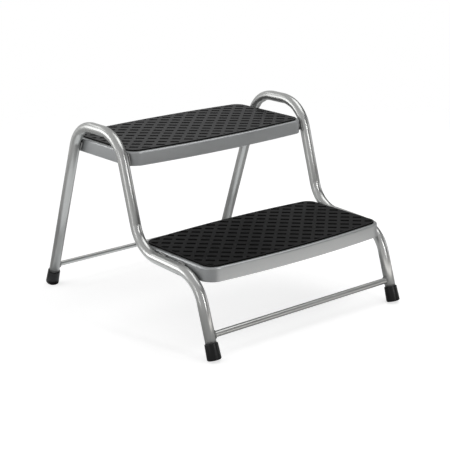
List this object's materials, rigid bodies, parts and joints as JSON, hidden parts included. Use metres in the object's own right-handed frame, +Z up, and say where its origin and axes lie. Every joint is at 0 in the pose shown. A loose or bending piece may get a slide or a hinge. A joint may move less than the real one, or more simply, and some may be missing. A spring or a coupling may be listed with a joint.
{
  "type": "caravan entry step",
  "caption": "Free-standing double step with bent tube side frames, pressed treads and pocketed rubber mats, for stepping up to a caravan door.",
  "frame": {"origin": "on the ground, midway between the feet in X and Y", "axes": "+Z up, +Y towards the door and the higher tread, X along the treads"},
  "size_m": [0.578, 0.6784, 0.4465],
  "materials": {
    "tube_finish": "silver metallic paint, satin",
    "tread_finish": "silver metallic paint on pressed sheet, satin",
    "weld_finish": "painted over weld bead, satin",
    "mat_rubber": "matt black ribbed rubber",
    "cap_rubber": "black rubber, slightly shiny"
  },
  "bodies": {
    "root": {"side_frame_left": "tube_finish", "side_frame_right": "tube_finish", "front_crossbar": "tube_finish", "rear_crossbar": "tube_finish", "upper_tread_pan": "tread_finish", "lower_tread_pan": "tread_finish", "upper_mat": "mat_rubber", "lower_mat": "mat_rubber", "foot_cap_front_left": "cap_rubber", "foot_cap_front_right": "cap_rubber", "foot_cap_rear_left": "cap_rubber", "foot_cap_rear_right": "cap_rubber", "weld_front_bar_left": "weld_finish", "weld_front_bar_right": "weld_finish", "weld_rear_bar_left": "weld_finish", "weld_rear_bar_right": "weld_finish", "weld_upper_front_left": "weld_finish", "weld_upper_front_right": "weld_finish", "weld_upper_rear_left": "weld_finish", "weld_upper_rear_right": "weld_finish", "weld_lower_front_left": "weld_finish", "weld_lower_front_right": "weld_finish", "weld_lower_rear_left": "weld_finish", "weld_lower_rear_right": "weld_finish"}
  },
  "joints": []
}
